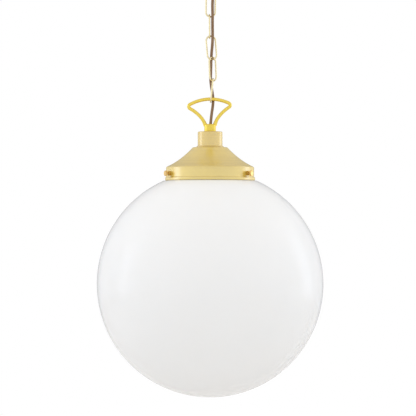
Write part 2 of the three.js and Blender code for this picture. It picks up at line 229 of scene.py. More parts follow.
def ring_faces(rings):
    """Faces from each ring of vertex numbers to the next, and from the last to the first."""
    faces = []
    for low, high in zip(rings, [*rings[1:], rings[0]]):
        for k in range(len(low)):
            on = (k + 1) % len(low)
            face = dict.fromkeys((low[k], low[on], high[on], high[k]))
            if len(face) > 2:
                faces.append(tuple(face))
    return faces


def turned(outline, segments, relief=None):
    """Vertices and faces of a closed outline [(radius, z), ...] turned about the axis.

    It runs up the outside and down the inside. relief(radius, z, angles) is what each
    point of a ring stands out by.
    """
    angles = np.linspace(0, 2 * math.pi, segments, endpoint=False)
    vertices, rings = [], []
    for radius, z in outline:
        if radius < ON_AXIS:
            rings.append([len(vertices)] * segments)
            vertices.append((0, 0, z))
            continue
        reach = np.full(segments, float(radius))
        if relief:
            reach += relief(radius, z, angles)
        rings.append(range(len(vertices), len(vertices) + segments))
        vertices += zip(reach * np.cos(angles), reach * np.sin(angles), [z] * segments)
    return vertices, ring_faces(rings)


def route_frames(points):
    """A sideways direction and its partner at each point, with no twist between points."""
    tangents = np.gradient(points, axis=0)
    tangents /= np.linalg.norm(tangents, axis=1)[:, None]
    aslant = (0.31, 0.95, 0.05)  # no route starts this way
    side = np.cross(tangents[0], aslant)
    sides = []
    for tangent in tangents:
        side = side - (side @ tangent) * tangent
        side /= np.linalg.norm(side)
        sides.append(side)
    sides = np.array(sides)
    return sides, np.cross(tangents, sides)


def swept(points, radius, sides, relief=None, start_length=0, frames=None):
    """Vertices, faces and UVs of a closed tube along points.

    radius is one number or one for each point. relief(lengths, angles) is what the surface
    stands out by. U is the length in mm along the tube and V goes from 0 to 1 round it.
    """
    points = np.array(points, float)
    lengths = np.concatenate([[0], np.cumsum(np.linalg.norm(np.diff(points, axis=0), axis=1))])
    lengths += start_length
    normals, partners = frames if frames else route_frames(points)
    angles = np.linspace(0, 2 * math.pi, sides, endpoint=False)
    reach = np.broadcast_to(np.reshape(radius, (-1, 1)), (len(points), sides)).astype(float)
    if relief:
        reach = reach + relief(lengths[:, None], angles[None, :])
    around = normals[:, None] * np.cos(angles)[:, None] + partners[:, None] * np.sin(angles)[:, None]
    vertices = points[:, None] + around * reach[:, :, None]
    faces, uvs = [], []
    for i in range(len(points) - 1):
        for k in range(sides):
            on = (k + 1) % sides
            low, high = i * sides, (i + 1) * sides
            faces.append((low + k, low + on, high + on, high + k))
            start, end = lengths[i], lengths[i + 1]
            left, right = k / sides, (k + 1) / sides
            uvs += [(start, left), (start, right), (end, right), (end, left)]
    last = (len(points) - 1) * sides
    faces.append(tuple(reversed(range(sides))))
    faces.append(tuple(range(last, last + sides)))
    uvs += [(lengths[0], k / sides) for k in reversed(range(sides))]
    uvs += [(lengths[-1], k / sides) for k in range(sides)]
    return vertices.reshape(-1, 3), faces, uvs


def moved(shape, matrix=None, shift=(0, 0, 0)):
    """The shape with its vertices turned by a 3x3 matrix and then shifted."""
    vertices = np.array(shape[0], float)
    if matrix is not None:
        vertices = vertices @ np.array(matrix).T
    return (vertices + np.array(shift), *shape[1:])


def merged(*shapes):
    """Several closed shapes as one."""
    vertices, faces, uvs = [], [], []
    for shape in shapes:
        start = len(vertices)
        vertices += [tuple(v) for v in shape[0]]
        faces += [tuple(start + i for i in face) for face in shape[1]]
        uvs += shape[2] if len(shape) > 2 else [(0, 0)] * sum(len(face) for face in shape[1])
    return vertices, faces, uvs


def turn_y(angle):
    return ((math.cos(angle), 0, math.sin(angle)), (0, 1, 0), (-math.sin(angle), 0, math.cos(angle)))


def turn_z(angle):
    return ((math.cos(angle), -math.sin(angle), 0), (math.sin(angle), math.cos(angle), 0), (0, 0, 1))


def point_outwards(shape, azimuth):
    """Turns a shape made along +Z so that it points out from the axis at the screws' height."""
    flat = moved(shape, turn_y(math.pi / 2))
    return moved(flat, turn_z(math.radians(azimuth - 90)), (0, 0, SCREW_Z))


def make_piece(name, shape, material, replaces=(), sharp_degrees=32):
    """Makes an object from a shape in mm, in the CAD's frame."""
    mesh = bpy.data.meshes.new(name)
    vertices = np.array(shape[0], float) * MM
    mesh.from_pydata(vertices.tolist(), [], shape[1])
    if len(shape) > 2:
        layer = mesh.uv_layers.new(name="UVMap")
        layer.data.foreach_set("uv", np.array(shape[2], np.float32).ravel())
    mesh.polygons.foreach_set("use_smooth", [True] * len(mesh.polygons))
    mesh.set_sharp_from_angle(angle=math.radians(sharp_degrees))
    mesh.materials.append(material)
    piece = bpy.data.objects.new(name, mesh)
    bpy.context.scene.collection.objects.link(piece)
    if replaces:
        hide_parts(*replaces)
    return piece


def on_fitting(shape):
    """Heights above the globe's centre become heights in the CAD's frame."""
    return moved(shape, shift=(0, 0, GLOBE_Z))


# ------------ material helpers


def start_material(name):
    material = bpy.data.materials.new(name)
    material.use_nodes = True
    return material, material.node_tree, material.node_tree.nodes["Principled BSDF"]


def node(tree, kind, inputs=None, **settings):
    """Adds a shader node; an input is a number, a colour or another node's output."""
    made = tree.nodes.new("ShaderNode" + kind)
    for name, value in settings.items():
        setattr(made, name, value)
    for name, value in (inputs or {}).items():
        socket = made.inputs[name]
        if isinstance(value, bpy.types.NodeSocket):
            tree.links.new(value, socket)
        else:
            socket.default_value = value
    return made


def calculate(tree, operation, *values):
    """The result of one Math node."""
    return node(tree, "Math", dict(enumerate(values)), operation=operation).outputs[0]


def noise(tree, place, scale, detail=3, roughness=0.55):
    inputs = {"Vector": place, "Scale": scale, "Detail": detail, "Roughness": roughness}
    return node(tree, "TexNoise", inputs).outputs["Fac"]


def stretched(tree, value, low, high, from_low=0.3, from_high=0.7):
    """The value's middle range spread from low to high."""
    inputs = {"Value": value, "From Min": from_low, "From Max": from_high, "To Min": low, "To Max": high}
    return node(tree, "MapRange", inputs).outputs["Result"]


def blend_colours(tree, share, first, second):
    made = node(tree, "Mix", data_type="RGBA")
    for socket, value in ((0, share), (6, first), (7, second)):
        if isinstance(value, bpy.types.NodeSocket):
            tree.links.new(value, made.inputs[socket])
        else:
            made.inputs[socket].default_value = (*value, 1) if socket else value
    return made.outputs[2]


def combine(tree, x, y, z):
    return node(tree, "CombineXYZ", {"X": x, "Y": y, "Z": z}).outputs[0]


def place_on_piece(tree):
    return node(tree, "TexCoord").outputs["Object"]


def lathe_place(tree):
    """A place that runs across the turning lines of a turned piece."""
    parts = node(tree, "SeparateXYZ", {"Vector": place_on_piece(tree)}).outputs
    flat = combine(tree, parts["X"], parts["Y"], 0)
    radius = node(tree, "VectorMath", {0: flat}, operation="LENGTH").outputs["Value"]
    return combine(tree, radius, parts["Z"], 0)


def uv_parts(tree):
    """A swept piece's UVs: X is mm along it and Y a share round it."""
    return node(tree, "SeparateXYZ", {"Vector": node(tree, "TexCoord").outputs["UV"]}).outputs


def wire_place(tree, along, around):
    """A place on a swept piece, scaled along it and round it."""
    parts = uv_parts(tree)
    long = calculate(tree, "MULTIPLY", parts["X"], along)
    angle = calculate(tree, "MULTIPLY", parts["Y"], 2 * math.pi)
    across = [
        calculate(tree, "MULTIPLY", calculate(tree, wave, angle), around)
        for wave in ("COSINE", "SINE")
    ]
    return combine(tree, long, *across)


def set_bump(tree, shader, height, strength, distance):
    inputs = {"Height": height, "Strength": strength, "Distance": distance}
    tree.links.new(node(tree, "Bump", inputs).outputs["Normal"], shader.inputs["Normal"])


def paint(tree, shader, colour, roughness, metallic=0.0):
    tree.links.new(colour, shader.inputs["Base Color"])
    tree.links.new(roughness, shader.inputs["Roughness"])
    shader.inputs["Metallic"].default_value = metallic


# ------------ materials

TURNING_LINES = 2300  # per metre
BROAD_LINES = 330
CLOUDS = 26


def spun_brass(name, light, dark, roughness):
    """Sheet brass spun on a lathe: fine lines round it, and a slow change of tone."""
    material, tree, shader = start_material(name)
    across = lathe_place(tree)
    fine = noise(tree, across, TURNING_LINES, detail=2)
    broad = noise(tree, across, BROAD_LINES)
    clouds = noise(tree, place_on_piece(tree), CLOUDS, detail=4)
    share = stretched(tree, calculate(tree, "ADD", broad, clouds), 0, 1, 0.75, 1.25)
    rough = calculate(tree, "ADD", stretched(tree, fine, -0.05, 0.07), roughness)
    paint(tree, shader, blend_colours(tree, share, light, dark), rough, metallic=1)
    set_bump(tree, shader, fine, strength=0.35, distance=0.00004)
    shader.inputs["Coat Weight"].default_value = 1
    shader.inputs["Coat IOR"].default_value = 2.6
    shader.inputs["Coat Roughness"].default_value = 0.25
    shader.inputs["Anisotropic"].default_value = 0.45
    tangent = node(tree, "Tangent", direction_type="RADIAL", axis="Z")
    tree.links.new(tangent.outputs[0], shader.inputs["Tangent"])
    return material


def wire_brass(name, light, dark, roughness, grain, bump):
    """Drawn or cast brass wire: faint marks along it, and fine pits."""
    material, tree, shader = start_material(name)
    marks = noise(tree, wire_place(tree, along=0.12, around=1.6), 2.4, detail=4)
    pits = noise(tree, place_on_piece(tree), grain, detail=5, roughness=0.65)
    share = stretched(tree, calculate(tree, "ADD", marks, pits), 0, 1, 0.8, 1.2)
    rough = calculate(tree, "ADD", stretched(tree, marks, -0.05, 0.08), roughness)
    paint(tree, shader, blend_colours(tree, share, light, dark), rough, metallic=1)
    set_bump(tree, shader, pits, bump, distance=0.00006)
    return material


CONTACT_SHADE_REACH = (3.2, 1.6)  # mm from a link's end: where the painted contact shade starts, and where it is full


def chain_brass():
    """Pale drawn wire with painted shade, dark brown, at a link's two ends, where the next link touches it
    and shades it.
    """
    material = wire_brass("drawn_chain_brass", (0.92, 0.82, 0.52), (0.82, 0.7, 0.4), 0.24, 2600, 0.08)
    tree = material.node_tree
    shader = tree.nodes["Principled BSDF"]
    clean = shader.inputs["Base Color"].links[0].from_socket
    quarter = LINK_LENGTH / 4  # from the butt joint, half way along a side, to a link's end
    side = calculate(tree, "PINGPONG", uv_parts(tree)["X"], quarter)
    # Painted contact shade: the wire is painted dark brown near each end of a link, where the next link
    # shades it.
    contact_shade = stretched(tree, side, 0, 0.85, *(quarter - reach for reach in CONTACT_SHADE_REACH))
    colour = blend_colours(tree, contact_shade, clean, (0.3, 0.18, 0.045))
    tree.links.new(colour, shader.inputs["Base Color"])
    return material


def turned_metal(name, light, dark, roughness, lines=TURNING_LINES, bump=0.3):
    """Bar metal from a lathe, or plated steel: fine marks and a mottled tone."""
    material, tree, shader = start_material(name)
    place = place_on_piece(tree)
    mottle = noise(tree, place, 260, detail=4, roughness=0.6)
    fine = noise(tree, place, lines, detail=2)
    rough = calculate(tree, "ADD", stretched(tree, mottle, -0.06, 0.1), roughness)
    colour = blend_colours(tree, stretched(tree, mottle, 0, 1), light, dark)
    paint(tree, shader, colour, rough, metallic=1)
    set_bump(tree, shader, fine, bump, distance=0.00003)
    return material


def opal_glass():
    """Blown opal glass: white through its wall under a clear glossy skin."""
    material, tree, shader = start_material("opal_glass")
    place = place_on_piece(tree)
    flow = noise(tree, place, 6, detail=2)
    specks = noise(tree, place, 180)
    tint = blend_colours(tree, stretched(tree, flow, 0, 1), (0.965, 0.962, 0.953), (0.98, 0.976, 0.966))
    paint(tree, shader, tint, stretched(tree, specks, 0.08, 0.12))
    set_bump(tree, shader, flow, strength=0.25, distance=0.0006)
    shader.inputs["IOR"].default_value = 1.33
    shader.inputs["Subsurface Weight"].default_value = 0.7
    shader.inputs["Subsurface Radius"].default_value = (1, 0.95, 0.9)
    shader.inputs["Subsurface Scale"].default_value = 0.01
    return material


def smooth_material(name, light, dark, roughness, scale=120, bump=0.1, coat=0.0):
    """Moulded plastic, porcelain or lamp glass: a faint mottle and a fine surface."""
    material, tree, shader = start_material(name)
    place = place_on_piece(tree)
    mottle = noise(tree, place, scale, detail=4, roughness=0.6)
    fine = noise(tree, place, 1800, detail=2)
    colour = blend_colours(tree, stretched(tree, mottle, 0, 1), light, dark)
    paint(tree, shader, colour, stretched(tree, mottle, roughness - 0.05, roughness + 0.08))
    set_bump(tree, shader, fine, bump, distance=0.00004)
    shader.inputs["Coat Weight"].default_value = coat
    return material


BRAID_CARRIERS = 8  # strands each way round
BRAID_PITCH = 17  # mm along the flex for one strand's turn


def braid_waves(tree):
    """Two families of strands crossing round the flex, each 0 to 1 across its strands."""
    parts = uv_parts(tree)
    turns = calculate(tree, "MULTIPLY", parts["X"], 1 / BRAID_PITCH)
    waves = []
    for way in ("ADD", "SUBTRACT"):
        phase = calculate(tree, way, parts["Y"], turns)
        strands = calculate(tree, "MULTIPLY", phase, 2 * math.pi * BRAID_CARRIERS)
        waves.append(stretched(tree, calculate(tree, "COSINE", strands), 0, 1, -1, 1))
    return waves


def braided_cotton():
    """Brown cotton braid: painted shade, near black, in the grooves between the strands, and fine yarns."""
    material, tree, shader = start_material("braided_cotton")
    first, second = braid_waves(tree)
    crown = calculate(tree, "MAXIMUM", first, second)
    yarn = noise(tree, wire_place(tree, along=3.5, around=2.4), 1.7, detail=4)
    fade = noise(tree, place_on_piece(tree), 40)
    strand = blend_colours(tree, stretched(tree, yarn, 0, 1), (0.32, 0.185, 0.09), (0.19, 0.1, 0.048))
    faded = blend_colours(tree, stretched(tree, fade, 0, 0.35), strand, (0.4, 0.26, 0.15))
    # Painted shade: the colour goes near black in the grooves between the strands.
    colour = blend_colours(tree, stretched(tree, crown, 0.75, 0, 0.35, 0.9), faded, (0.07, 0.035, 0.018))
    paint(tree, shader, colour, stretched(tree, yarn, 0.78, 0.92))
    set_bump(tree, shader, yarn, strength=0.5, distance=0.0001)
    shader.inputs["Sheen Weight"].default_value = 0.25
    shader.inputs["Sheen Roughness"].default_value = 0.5
    return material


def make_materials():
    """Each has a light and a dark tone and its roughness, then its marks per metre and bump."""
    return {
        "spun": spun_brass("spun_satin_brass", (0.845, 0.65, 0.125), (0.765, 0.585, 0.11), 0.58),
        # The collar is the same spun brass painted a little darker: painted shade for how the collar is
        # lit.
        "collar": spun_brass("collar_brass_painted_shade", (0.79, 0.58, 0.105), (0.715, 0.52, 0.092), 0.58),
        "cast": wire_brass("cast_brass", (0.94, 0.74, 0.15), (0.85, 0.65, 0.11), 0.36, 900, 0.2),
        "chain": chain_brass(),
        "wire": wire_brass("bright_brass_trim", (0.9, 0.78, 0.45), (0.8, 0.66, 0.34), 0.26, 1300, 0.15),
        "polished": turned_metal("polished_brass", (0.86, 0.6, 0.24), (0.74, 0.47, 0.15), 0.18),
        # The screw bosses are brass painted darker: painted shade and a painted dark reflection at each
        # thumb screw's root.
        "boss": turned_metal("boss_brass_painted_shade", (0.68, 0.46, 0.12), (0.5, 0.31, 0.06), 0.34),
        "thread": turned_metal("thread_brass", (0.72, 0.56, 0.27), (0.55, 0.4, 0.16), 0.28),
        "zinc": turned_metal("zinc_steel", (0.56, 0.57, 0.6), (0.42, 0.43, 0.43), 0.4, 900, 0.5),
        "lamp_metal": turned_metal("lamp_aluminium", (0.78, 0.78, 0.77), (0.62, 0.62, 0.61), 0.28),
        "opal": opal_glass(),
        "lamp_glass": smooth_material("lamp_glass", (0.88, 0.87, 0.84), (0.82, 0.81, 0.77), 0.32, 60),
        "black": smooth_material(
            "black_phenolic", (0.022, 0.02, 0.019), (0.012, 0.011, 0.01), 0.42, scale=90, bump=0.3
        ),
        "white": smooth_material("white_nylon", (0.78, 0.76, 0.7), (0.7, 0.68, 0.62), 0.45, 90, 0.2),
        "ceramic": smooth_material(
            "glazed_ceramic", (0.8, 0.77, 0.7), (0.72, 0.69, 0.62), 0.22, scale=70, coat=0.5
        ),
        "brown": smooth_material("brown_insulation", (0.12, 0.045, 0.02), (0.08, 0.03, 0.014), 0.35, 300),
        "blue": smooth_material("blue_insulation", (0.035, 0.12, 0.36), (0.02, 0.08, 0.26), 0.35, 300),
        "earth": smooth_material("earth_insulation", (0.62, 0.55, 0.05), (0.07, 0.3, 0.04), 0.35, 160),
        "braid": braided_cotton(),
    }


# ------------ flex


def smooth_route(corners, steps_each):
    """A centripetal Catmull-Rom curve through the corners, as the CAD flex follows."""
    corners = np.array(corners, float)
    padded = np.vstack([2 * corners[0] - corners[1], corners, 2 * corners[-1] - corners[-2]])
    gaps = np.sqrt(np.linalg.norm(np.diff(padded, axis=0), axis=1))
    shares = np.linspace(0, 1, steps_each, endpoint=False)[:, None]
    points = []
    for i in range(1, len(padded) - 2):
        p0, p1, p2, p3 = padded[i - 1:i + 3]
        d0, d1, d2 = gaps[i - 1:i + 2]
        leave = ((p1 - p0) / d0 - (p2 - p0) / (d0 + d1) + (p2 - p1) / d1) * d1
        arrive = ((p2 - p1) / d1 - (p3 - p1) / (d1 + d2) + (p3 - p2) / d2) * d1
        square, cube = shares ** 2, shares ** 3
        points.append(
            (2 * cube - 3 * square + 1) * p1
            + (cube - 2 * square + shares) * leave
            + (3 * square - 2 * cube) * p2
            + (cube - square) * arrive
        )
    return np.vstack([*points, corners[-1:]])


def even_points(points, step):
    """Points of the route a step apart."""
    lengths = np.concatenate([[0], np.cumsum(np.linalg.norm(np.diff(points, axis=0), axis=1))])
    count = round(lengths[-1] / step)
    at = np.linspace(0, lengths[-1], count + 1)
    return np.stack([np.interp(at, lengths, points[:, axis]) for axis in range(3)], 1)


STRAND_RELIEF = 0.16  # mm
STRAND_SINK = 0.12  # so that the crowns are about at the flex's radius


def braid_relief(lengths, angles):
    """How far the crossing strands stand out, in mm."""
    turns = lengths / BRAID_PITCH
    share = angles / (2 * math.pi)
    first = np.cos(2 * math.pi * BRAID_CARRIERS * (share + turns))
    second = np.cos(2 * math.pi * BRAID_CARRIERS * (share - turns))
    return STRAND_RELIEF * np.maximum(first, second) - STRAND_SINK


FLEX_STEP = 0.4
FLEX_SIDES = 40
PATH_EVERY = 5  # points of the flex between two points of a sparser path, which is worked out but not used


def make_flex(material):
    """The flex in stretches that meet half way down each link."""
    points = even_points(smooth_route(FLEX_ROUTE, steps_each=24), FLEX_STEP)
    step = np.linalg.norm(points[1] - points[0])
    frames = route_frames(points)
    cuts = [FIRST_LINK_Z - LINK_PITCH * i for i in range(len(CHAIN))]
    ends = [0, *(int(np.argmin(abs(points[:, 2] - cut))) for cut in cuts), len(points) - 1]
    for i, (first, last) in enumerate(zip(ends, ends[1:])):
        part = points[first:last + 1]
        part_frames = tuple(side[first:last + 1] for side in frames)
        shape = swept(part, FLEX_RADIUS, FLEX_SIDES, braid_relief, first * step, part_frames)
        piece = make_piece(f"flex_stretch_{i + 1}", shape, material, ("flex",), 60)
        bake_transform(piece)
        path = part[::PATH_EVERY]
        if (len(part) - 1) % PATH_EVERY:
            path = np.vstack([path, part[-1:]])


# ------------ chain


def link_outline():
    """The middle of a link's wire, from one side of its butt joint round to the other."""
    radius, straight = LINK_END_RADIUS, LINK_STRAIGHT
    side = np.linspace(LINK_BUTT_GAP / 2, straight, 16)[:-1]
    far = np.linspace(straight, -straight, 30)[1:-1]
    return [
        *((radius, z) for z in side),
        *arc(0, straight, radius, 0, 180, 32),
        *((-radius, z) for z in far),
        *arc(0, -straight, radius, 180, 360, 32),
        *((radius, -z) for z in reversed(side)),
    ]


def chain_link():
    points = np.array([(x, 0, z) for x, z in link_outline()])
    radii = np.full(len(points), float(LINK_WIRE))
    radii[[0, -1]] = LINK_WIRE - LINK_BUTT_EDGE
    return swept(points, radii, 24)


def make_chain(material):
    for i, (yaw, top_x, bottom_x) in enumerate(CHAIN):
        tilt = math.atan2(top_x - bottom_x, LINK_PITCH)
        shift = ((top_x + bottom_x) / 2, 0, FIRST_LINK_Z - i * LINK_PITCH)
        link = moved(moved(chain_link(), turn_z(math.radians(yaw))), turn_y(tilt), shift)
        name = f"chain_link_{i + 1}"
        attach(make_piece(f"{name}_wire", link, material, (name,), 50), name)


# ------------ at the ceiling


def thread(pitch, depth, low, high):
    """A relief that cuts a round-bottomed helical thread between two heights."""

    def relief(radius, z, angles):
        inside = min(z - low, high - z) / (0.5 * pitch)
        fade = min(1.0, max(0.0, inside))
        return -0.5 * depth * fade * (1 - np.cos(2 * math.pi * z / pitch - angles))

    return relief


def knurl(count, depth, low, high):
    """A relief of straight ribs across a rim between two heights."""

    def relief(radius, z, angles):
        if not low <= z <= high:
            return 0 * angles
        return -depth * np.abs(np.cos(count * angles / 2))

    return relief


def outer_only(relief, least_radius):
    """The relief on the points of a piece that are at least that far out."""
    return lambda radius, z, angles: relief(radius, z, angles) if radius >= least_radius else 0 * angles


def nipple(low, high):
    outline = [(NIPPLE_RADIUS, low), (NIPPLE_RADIUS, high), (NIPPLE_BORE, high), (NIPPLE_BORE, low)]
    fine = subdivided(rounded(outline, 0.35, 2), 0.2)
    return turned(fine, 40, outer_only(thread(1, 0.5, low, high), NIPPLE_RADIUS - 0.2))


def hex_nut(across_flats, low, high):
    """A hexagon nut with its corners turned off at 30 degrees, top and bottom."""
    segments = 96
    chamfer = 1  # its height
    half = across_flats / 2
    corner = half / math.cos(math.pi / 6)
    angles = np.linspace(0, 2 * math.pi, segments, endpoint=False)
    folded = (angles + math.pi / 6) % (math.pi / 3) - math.pi / 6
    hexagon = half / np.cos(folded)
    slope = math.tan(math.radians(30))
    heights = (low, low + chamfer / 2, low + chamfer, high - chamfer, high - chamfer / 2, high)
    rings = []
    for z in heights:
        edge = min(z - low, high - z)
        reach = np.minimum(hexagon, half - 0.2 + (edge / slope if edge < chamfer else corner))
        rings.append(list(zip(reach * np.cos(angles), reach * np.sin(angles), [z] * segments)))
    for z in (high, low):
        rings.append([(NIPPLE_HOLE * math.cos(a), NIPPLE_HOLE * math.sin(a), z) for a in angles])
    numbers = [range(i * segments, (i + 1) * segments) for i in range(len(rings))]
    return [point for ring in rings for point in ring], ring_faces(numbers)


def screw_collar():
    """The collar screwed on the canopy's nipple, with the wire loop that carries the chain."""
    low, high = -40, -26
    floor = 2.5
    radius, flex_hole = 11, 3.6
    outline = [
        (flex_hole, low),
        (radius - 1, low),
        (radius, low + 1),
        (radius, high),
        (NIPPLE_HOLE, high),
        (NIPPLE_HOLE, low + floor),
        (flex_hole, low + floor),
    ]
    collar = turned(rounded(outline, 0.5), 64)
    half_width = 8.2
    bend_z = RING_LOOP_Z + half_width
    route = [
        *((half_width, z) for z in np.linspace(low + 1.5, bend_z, 8)[:-1]),
        *arc(0, bend_z, half_width, 0, -180, 32),
        *((-half_width, z) for z in np.linspace(bend_z, low + 1.5, 8)[1:]),
    ]
    loop = swept([(x, 0, z) for x, z in route], RING_LOOP_WIRE, 24)
    return merged(collar, loop)


def canopy():
    band = CANOPY_RADIUS - 1.5
    outer_face = [
        (13.5, -CANOPY_DEPTH),
        (24, -CANOPY_DEPTH),
        *curve((25.5, -CANOPY_DEPTH + 0.4), (44, -17), (59.5, -11), 20),
        (band, -9.8),
        (band, -4.6),
        *arc(band - 0.6, -2.4, 2.1, -60, 60, 10),
        (band, -0.2),
    ]
    return turned(sheet_outline(outer_face), 128)


def ring_nut():
    top = -CANOPY_DEPTH - GAP
    low = top - 6
    radius, bore = 17, 11.4
    outline = [
        (bore, low),
        (radius - 1, low),
        (radius, low + 1),
        (radius, top - 1),
        (radius - 1, top),
        (bore, top),
    ]
    fine = subdivided(rounded(outline, 0.4), 0.5)
    return turned(fine, 360, outer_only(knurl(72, 0.35, low + 0.8, top - 0.8), radius - 0.5))


def earth_screw():
    """Its head is under the mounting plate, and its shank goes up into the plate."""
    head_low, head_top, shank_top = -5.4, -2.8, -0.3
    head_radius, shank_radius = 4, 1.7
    outline = [
        (0, head_low),
        (head_radius - 1, head_low),
        (head_radius, head_low + 1),
        (head_radius, head_top),
        (shank_radius, head_top),
        (shank_radius, shank_top),
        (0, shank_top),
    ]
    return turned(rounded(outline, 0.25), 48)


def make_ceiling_end(materials):
    """What shows of the canopy and the hardware in it."""
    brass, wire, zinc = materials["spun"], materials["wire"], materials["zinc"]
    fixed = [
        ("screw_collar", screw_collar(), wire, "chain_brass"),
        ("canopy_nipple", nipple(-37, -14), materials["thread"], "satin_brass"),
        ("nipple_nut_upper", hex_nut(15, -17.2, -14), zinc, "zinc_steel"),
        ("nipple_nut_lower", hex_nut(15, -23.5, -20.3), zinc, "zinc_steel"),
        ("earth_screw", moved(earth_screw(), shift=(EARTH_X, 0, 0)), wire, "chain_brass"),
    ]
    for name, shape, material, slot in fixed:
        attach(make_piece(f"{name}_turned", shape, material, (name,)), "ceiling_mount")
    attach(make_piece("canopy_spun", canopy(), brass, ("canopy",)), "canopy")
    nut = make_piece("ring_nut_knurled", ring_nut(), brass, ("canopy_ring_nut",))
    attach(nut, "canopy")


# ------------ hanging fitting


def loop_boss():
    low, bore = COLLAR_TOP_Z + GAP, 4.3
    outline = [
        (bore, low),
        (10.3, low),
        (10.2, 276),
        (10.5, 280.6),
        (9, BOSS_TOP_Z),
        (bore, BOSS_TOP_Z),
    ]
    return turned(rounded(outline, 0.9, 6), 96)


def loop_arms():
    """The loop's wire: two arms that spread from the boss and a shallow arch over them."""
    arch_radius = 76
    arch_z = LOOP_TOP_Z - LOOP_WIRE - arch_radius
    corner_radius = 4.2
    corner_x = LOOP_HALF_WIDTH - LOOP_WIRE - corner_radius
    corner_rise = math.sqrt((arch_radius - corner_radius) ** 2 - corner_x ** 2)
    arch_start = math.degrees(math.atan2(corner_rise, corner_x))
    arm_heading = 32
    corner = arc(corner_x, arch_z + corner_rise, corner_radius, arm_heading - 90, arch_start, 20)
    arm_reach = 26
    heading = math.radians(arm_heading)
    control = (corner[0][0] - arm_reach * math.cos(heading), corner[0][1] - arm_reach * math.sin(heading))
    arm = curve((8.2, BOSS_TOP_Z - 2.5), control, corner[0], 24)
    arch = arc(0, arch_z, arch_radius, arch_start, 90, 24)
    half = [*arm, *corner[1:], *arch[1:]]
    whole = [*half, *((-x, z) for x, z in reversed(half[:-1]))]
    points = np.array([(x, 0, z) for x, z in whole])
    ends = np.minimum(np.arange(len(points)), np.arange(len(points))[::-1])
    radii = LOOP_WIRE + 0.7 * np.clip(1 - ends / 9, 0, 1) ** 2
    pivot = np.array((0, 0, BOSS_TOP_Z))
    vertices, faces, uvs = swept(points - pivot, radii, 28)
    return moved((vertices, faces, uvs), turn_y(-LOOP_LEAN), pivot)


def collar():
    base = SHOULDER_Z + GAP
    edge = 1.8  # the turn at its top
    outer_face = [
        (24.4, base),
        (24.4, base + 0.8),
        *curve((23.6, base + 1.4), (COLLAR_RADIUS, base + 2), (COLLAR_RADIUS, base + 4), 8),
        *arc(COLLAR_RADIUS - edge, COLLAR_TOP_Z - edge, edge, 0, 90, 10),
        (NIPPLE_HOLE, COLLAR_TOP_Z),
    ]
    return turned(sheet_outline(outer_face, 0.3), 96)


def gallery():
    outer_face = [
        (BEAD_RADIUS, RIM_Z),
        *arc(BEAD_RADIUS - BEAD_TURN, RIM_Z + BEAD_HEIGHT / 2 + 0.2, BEAD_TURN, 10, 62, 8),
        (BAND_RADIUS, RIM_Z + BEAD_HEIGHT + 0.3),
        (BAND_RADIUS, BAND_TOP_Z - 0.4),
        (BAND_RADIUS - 0.6, BAND_TOP_Z + 0.7),
        *curve((75.6, BAND_TOP_Z + 1.9), (52.3, BAND_TOP_Z + 12.5), (31, SHOULDER_Z - 0.5), 32),
        (30, SHOULDER_Z),
        (NIPPLE_HOLE, SHOULDER_Z),
    ]
    return turned(sheet_outline(outer_face, 0.35), 192)


def screw_boss():
    """The threaded boss brazed on the band, round each thumb screw."""
    low, high = BAND_RADIUS - 1, BAND_RADIUS + BOSS_REACH
    hole = SCREW_RADIUS + 0.4
    outline = [(hole, low), (BOSS_RADIUS, low), (BOSS_RADIUS, high), (hole, high)]
    return turned(rounded(outline, 0.45), 48)


def thumb_screw():
    tip = LIP_RADIUS + GAP
    end = BAND_RADIUS + SCREW_REACH
    knob = end - KNOB_LENGTH
    neck = BAND_RADIUS + BOSS_REACH + 2
    edge = 0.5  # chamfer
    dish = 0.25  # how deep the knob's end is turned in
    outline = [
        (0, tip),
        (SCREW_RADIUS - edge, tip),
        (SCREW_RADIUS, tip + edge),
        (SCREW_RADIUS, neck),
        (KNOB_NECK_RADIUS, neck + 0.4),
        (KNOB_NECK_RADIUS, knob),
        (KNOB_RADIUS - 0.45, knob),
        (KNOB_RADIUS, knob + edge),
        (KNOB_RADIUS, end - edge),
        (KNOB_RADIUS - 0.45, end),
        (3.4, end - dish),
        (0, end - dish),
    ]
    fine = subdivided(rounded(outline, 0.3, 3), 0.16)
    ribs = outer_only(knurl(40, 0.28, knob + 0.35, end - 0.35), KNOB_RADIUS - 0.35)
    cut = outer_only(thread(0.7, 0.4, tip, neck), SCREW_RADIUS - 0.1)

    def relief(radius, z, angles):
        return ribs(radius, z, angles) if z > neck else cut(radius, z, angles)

    return turned(fine, 200, relief)


def globe():
    """The opal shell: a sphere that flattens into a shoulder, a neck and a rolled lip."""
    inner_radius = GLOBE_RADIUS - GLASS_WALL
    neck_bore = NECK_RADIUS - GLASS_WALL
    outer = arc(0, 0, GLOBE_RADIUS, -90, 65.6, 120)
    outer[0] = (0, -GLOBE_RADIUS)
    inner = arc(0, 0, inner_radius, 66, -90, 80)
    inner[-1] = (0, -inner_radius)
    shoulder_start, shoulder_end = (79.6, 182.5), (75, 180)
    neck = rounded(
        [
            outer[-1],
            shoulder_start,
            (75.6, 182.9),
            (72.2, 184.2),
            (NECK_RADIUS, 188),
            (NECK_RADIUS, 198.6),
            (LIP_RADIUS - 1, 199.6),
            (LIP_RADIUS, 200.8),
            (LIP_RADIUS, 202.4),
            (LIP_RADIUS - 1.4, 203.6),
            (neck_bore, 203.6),
            (neck_bore, 184.5),
            (69.5, 181),
            shoulder_end,
            inner[0],
        ],
        radius=1.4,
        steps=5,
        least_turn=12,
    )
    neck = neck[neck.index(shoulder_start) : neck.index(shoulder_end) + 1]
    return turned([*outer, *neck, *inner], 192)


# ------------ lampholder and lamp

HOLDER_RADIUS = 20.5
LAMP_PITCH = 3.6  # of the lamp's thread and its shell's
SHELL_WALL = 0.5


